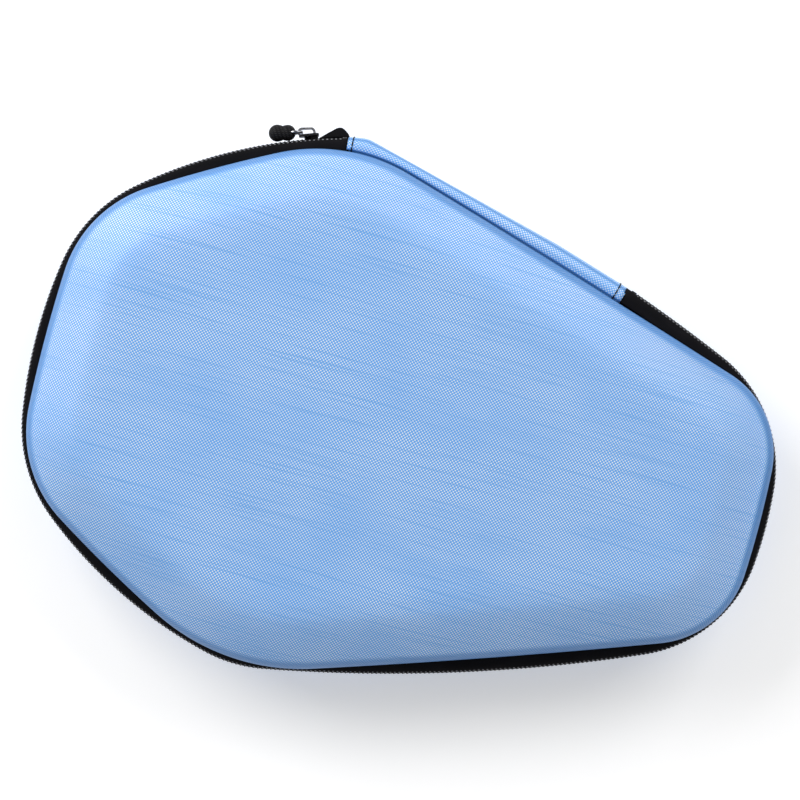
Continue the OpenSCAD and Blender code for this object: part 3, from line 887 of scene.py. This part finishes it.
def make_strap():
    """Woven elastic arch with a flat foot at each side."""
    low, high = cad("paddle_strap")
    x0, width = low.x, high.x - low.x
    floor, thick, gap, thin = low.z, 1.2, 0.05, 0.15
    rise = high.z - floor
    foot, arch_steps, columns = 9, 60, 21
    half = (high.y - low.y) / 2 - foot
    centre_y = (high.y + low.y) / 2
    r = (half * half + rise * rise) / (2 * rise)
    sweep_angle = math.asin(min(1, half / r)) if rise < r else math.pi - math.asin(half / r)
    line = [(-half - foot, 0.0), (-half - foot * 0.5, 0.0)]
    for k in range(arch_steps + 1):
        a = sweep_angle * (2 * k / arch_steps - 1)
        line.append(((r - thick) * math.sin(a), max(0, rise - r + (r - thick) * math.cos(a))))
    line += [(half + foot * 0.5, 0.0), (half + foot, 0.0)]
    verts, uvs, run = [], [], 0.0
    for i, (y, z) in enumerate(line):
        run += math.dist(line[i], line[i - 1]) if i else 0
        a, b = line[max(0, i - 1)], line[min(len(line) - 1, i + 1)]
        t = Vector((b[0] - a[0], b[1] - a[1])).normalized()
        up = Vector((-t.y, t.x))
        for layer in (0.0, 1.0):
            for c in range(columns):
                f = c / (columns - 1)
                edge = thin if c in (0, columns - 1) else 0
                h = gap + edge + layer * (thick - 2 * gap - 2 * edge)
                x = x0 + width * (f if layer == 0 else 1 - f)
                verts.append(Vector((x, centre_y + y + up.x * h, floor + z + up.y * h)))
                uvs.append((run, width * f))
    n = 2 * columns
    faces = grid_faces(len(line), n, wrap_columns=True)
    end = (len(line) - 1) * n
    faces += [tuple(range(n)), tuple(end + k for k in reversed(range(n)))]
    strap = build("elastic_strap", verts, turned(faces, True), uvs)
    dress(strap, ELASTIC, "elastic", "case_back", "paddle_strap")

    # Zigzag bar tacks on the feet
    low, high = cad("strap_tacks")
    half_w, length, lift, zigs, paths = 0.5, 4.4, 0.14, 16, []
    for x in (low.x + half_w, high.x - half_w):
        for y in (low.y, high.y - length):
            paths.append([
                Vector((x + half_w * (1 if k % 2 else -1), y + length * k / zigs, low.z + lift))
                for k in range(zigs + 1)])
    tacks = tube("zigzag_tacks", paths, 0.16, 6)
    dress(tacks, THREAD, "thread", "case_back", "strap_tacks")


def is_inside(edge, x, y):
    """True if a place is inside a closed outline."""
    inside = False
    for p, q in zip(edge, edge[-1:] + edge[:-1]):
        if (p.y > y) != (q.y > y) and x < (q.x - p.x) * (y - p.y) / (q.y - p.y) + p.x:
            inside = not inside
    return inside


def make_pocket():
    """Knitted net across the lid's blade end, with a gathered elastic hem."""
    low, high = cad("ball_pocket")
    inset, pitch, hole, sag_depth = 5.4, 2.6, 0.78, 0.25
    edge = [along(RIM, t, -inset) for t in stations(RIM, 0, TURN, 4)[:-1]]
    z = (low.z + high.z) / 2
    verts, faces, index = [], [], {}

    def vertex(x, y):
        key = (round(x, 3), round(y, 3))
        if key not in index:
            index[key] = len(verts)
            sag = sag_depth * math.sin(x * 0.11) * math.sin(y * 0.07)
            verts.append(Vector((x, y, z + sag)))
        return index[key]

    columns = int((high.x - low.x) / pitch)
    rows = int((high.y - low.y) / pitch)
    x_start = high.x - columns * pitch
    half = pitch / 2
    corners = [(-1, -1), (0, -1), (1, -1), (1, 0), (1, 1), (0, 1), (-1, 1), (-1, 0)]
    for i in range(columns):
        for j in range(rows):
            cx = x_start + (i + 0.5) * pitch
            cy = low.y + (j + 0.5) * pitch
            if not all(is_inside(edge, cx + sx * half, cy + sy * half)
                       for sx, sy in corners[::2]):
                continue
            ring = [vertex(cx + sx * half, cy + sy * half) for sx, sy in corners]
            inner = []
            for sx, sy in corners:
                d = math.hypot(sx, sy)
                inner.append(vertex(cx + sx / d * hole, cy + sy / d * hole))
            for k in range(8):
                m = (k + 1) % 8
                faces.append((ring[k], ring[m], inner[m], inner[k]))
    net = build("ball_net", verts, faces, [(v.x, v.y) for v in verts])
    dress(net, NET, "mesh", "lid", "ball_pocket")

    low, high = cad("pocket_hem")
    count, sides, pucker_depth = 160, 16, 0.12
    verts, uvs = [], []
    width, thick = high.x - low.x, high.z - low.z
    cx, cz = (low.x + high.x) / 2, (low.z + high.z) / 2
    for i in range(count + 1):
        y = low.y + (high.y - low.y) * i / count
        pucker = 1 - pucker_depth + pucker_depth * math.sin(y * 2.1) * math.sin(y * 0.37 + 1)
        for k in range(sides):
            a = 2 * math.pi * k / sides
            flat_x = math.copysign(abs(math.cos(a)) ** 0.5, math.cos(a))
            flat_z = math.copysign(abs(math.sin(a)) ** 0.7, math.sin(a))
            verts.append(Vector((cx + flat_x * width / 2, y, cz + flat_z * thick / 2 * pucker)))
            uvs.append((y, width * a / 3))
    faces = grid_faces(count + 1, sides, wrap_columns=True)
    end = count * sides
    faces += [tuple(range(sides)), tuple(end + k for k in reversed(range(sides)))]
    hem = build("gathered_hem", verts, faces, uvs)
    dress(hem, ELASTIC, "elastic", "lid", "pocket_hem")


# ---------------------------------------------------------------- stops and tape ends

def make_stops():
    for node in ("front_top_stop", "back_top_stop"):
        body = "lid" if node.startswith("front") else "case_back"
        dress(softened(node, node + "_clip", 0.15), BRIGHT, "bright_metal", body, node)
    block = softened("bottom_stop", "bottom_block", 0.25)
    dress(block, NYLON, "coil", "case_back", "bottom_stop")


# Station of the folded tape ends, and their middle height above the chain
END_T, END_Z = 2.7875, 1.25
# Outline of a folded tape end: (along the chain, outwards)
FLAP = [(-6.2, 0.25), (-5, 0.9), (-3, 2), (-1, 3), (0.8, 3.9), (2.2, 4.2), (3.4, 3.9), (4.6, 2.8),
        (5.6, 1.5), (6.1, 0.25)]
# Layers of the fold: (height, scale of the outline)
FOLD = [(-0.65, 0.86), (-0.5, 0.97), (-0.2, 1), (0.2, 1), (0.5, 0.97), (0.65, 0.86)]


def make_tape_ends():
    """The tapes' free ends, folded outwards between the slider and the strip."""
    outline = [catmull(FLAP, k / 40) for k in range(41)]
    place_at = frame_at(END_T)
    for side, body in (("front", "lid"), ("back", "case_back")):
        back = side == "back"
        verts, uvs = [], []
        for lift, scale in FOLD:
            for x, y in outline:
                y_scaled = FLAP[0][1] + (y - FLAP[0][1]) * scale
                p = place_at @ Vector((x * scale, y_scaled, END_Z + lift))
                verts.append(Vector((p.x, p.y, flip(p.z) if back else p.z)))
                uvs.append((x, y + lift))
        n = len(outline)
        faces = grid_faces(len(FOLD), n, wrap_columns=True)
        end = (len(FOLD) - 1) * n
        faces += [tuple(range(n)), tuple(end + k for k in reversed(range(n)))]
        flap = build(f"{side}_tape_end_cloth", verts, turned(faces, back), uvs)
        dress(flap, TAPE_CLOTH, "tape", body, f"{side}_tape_end")


# ---------------------------------------------------------------- room and camera

def make_room():
    mesh = bpy.data.meshes.new("floor")
    size = 4.0
    mesh.from_pydata([(-size, -size, 0), (size, -size, 0), (size, size, 0), (-size, size, 0)], [],
                     [(0, 1, 2, 3)])
    floor = bpy.data.objects.new("floor", mesh)
    bpy.context.scene.collection.objects.link(floor)
    mesh.materials.append(floor_paper())
    floor.location.z = -0.2 * MM

    world = bpy.data.worlds.new("studio")
    world.use_nodes = True
    back = world.node_tree.nodes["Background"]
    back.inputs["Color"].default_value = (1, 1, 1, 1)
    back.inputs["Strength"].default_value = 0.45
    bpy.context.scene.world = world
    bpy.context.scene.view_settings.view_transform = "Standard"


def light(name, place_at, watts):
    """Soft panel that faces the frame's origin."""
    data = bpy.data.lights.new(name, "AREA")
    data.shape = "RECTANGLE"
    data.size, data.size_y = PANEL
    data.energy = watts
    lamp = bpy.data.objects.new(name, data)
    bpy.context.scene.collection.objects.link(lamp)
    lamp.location = place_at
    lamp.rotation_mode = "QUATERNION"
    lamp.rotation_quaternion = Vector(place_at).to_track_quat("Z", "Y")


# Size of each light panel, in metres
PANEL = (1.0, 0.7)
# The camera's turn, and the width and centre of what it sees at the height of the zipper
ROLL = math.radians(14.76)
VIEW_WIDTH = 318.7
VIEW_CENTRE = Vector((-3.6, 10.4))
LENS, SENSOR = 100.0, 36.0


def make_camera():
    """Looks straight down on the lid, turned so that the handle end is low on the right."""
    data = bpy.data.cameras.new("camera")
    data.lens, data.sensor_width = LENS, SENSOR
    camera = bpy.data.objects.new("camera", data)
    bpy.context.scene.collection.objects.link(camera)
    height = MID + VIEW_WIDTH * LENS / SENSOR
    camera.location = (VIEW_CENTRE.x * MM, VIEW_CENTRE.y * MM, height * MM)
    camera.rotation_euler = (0, 0, ROLL)
    data.clip_start, data.clip_end = 0.05, 20
    bpy.context.scene.camera = camera


def image_way(right, up, z):
    """Direction given in the picture's axes, turned into the frame."""
    c, s = math.cos(ROLL), math.sin(ROLL)
    return (right * c - up * s, right * s + up * c, z)


make_camera()
make_room()
light("key", image_way(-0.9, 0.8, 0.75), 14)
light("fill", image_way(0.9, 0.9, 0.9), 9)
make_shells()
make_zipper()
make_strip()
make_strip_threads()
make_slider()
make_grip()
make_strap()
make_pocket()
make_stops()
make_tape_ends()
